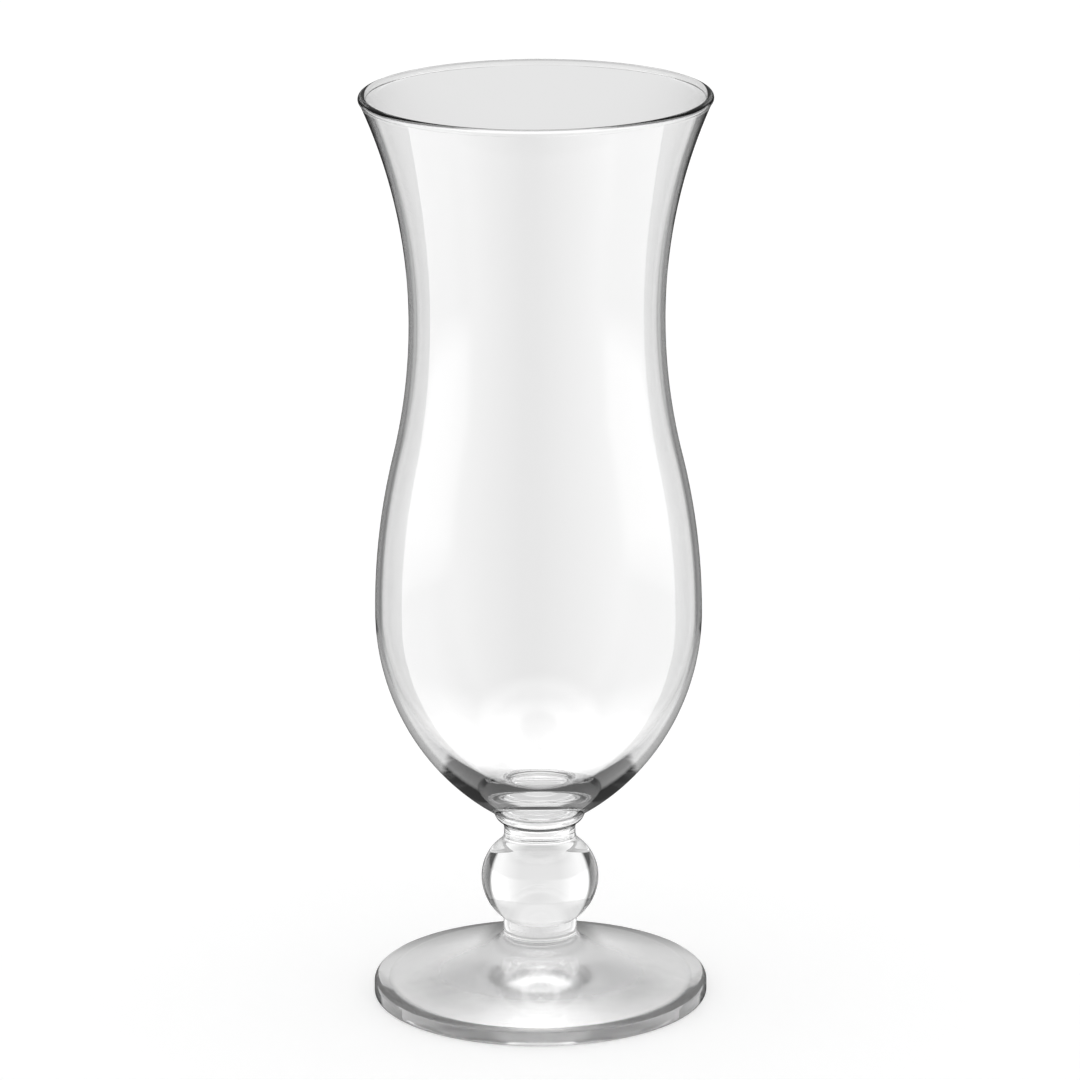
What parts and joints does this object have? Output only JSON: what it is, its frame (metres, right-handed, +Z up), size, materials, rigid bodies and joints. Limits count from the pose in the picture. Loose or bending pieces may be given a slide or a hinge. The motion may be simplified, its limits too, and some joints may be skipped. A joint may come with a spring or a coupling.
{
  "type": "hurricane glass",
  "caption": "Clear footed drinking glass with a flared mouth, narrow waist and round belly, on a short stem with a ball knop and a pressed disc foot.",
  "frame": {"origin": "centre of the circle that the foot stands on", "axes": "+Z up the axis of the glass, towards the mouth; the glass is round, so X and Y are free"},
  "size_m": [0.0774, 0.0774, 0.206],
  "materials": {
    "bowl_glass": "clear blown glass, fire-polished at the mouth",
    "stem_glass": "clear solid glass, fire-polished",
    "foot_glass": "clear pressed glass, fire-polished"
  },
  "bodies": {
    "root": {"bowl": "bowl_glass", "upper_merese": "stem_glass", "ball_knop": "stem_glass", "lower_merese": "stem_glass", "foot": "foot_glass"}
  },
  "joints": []
}
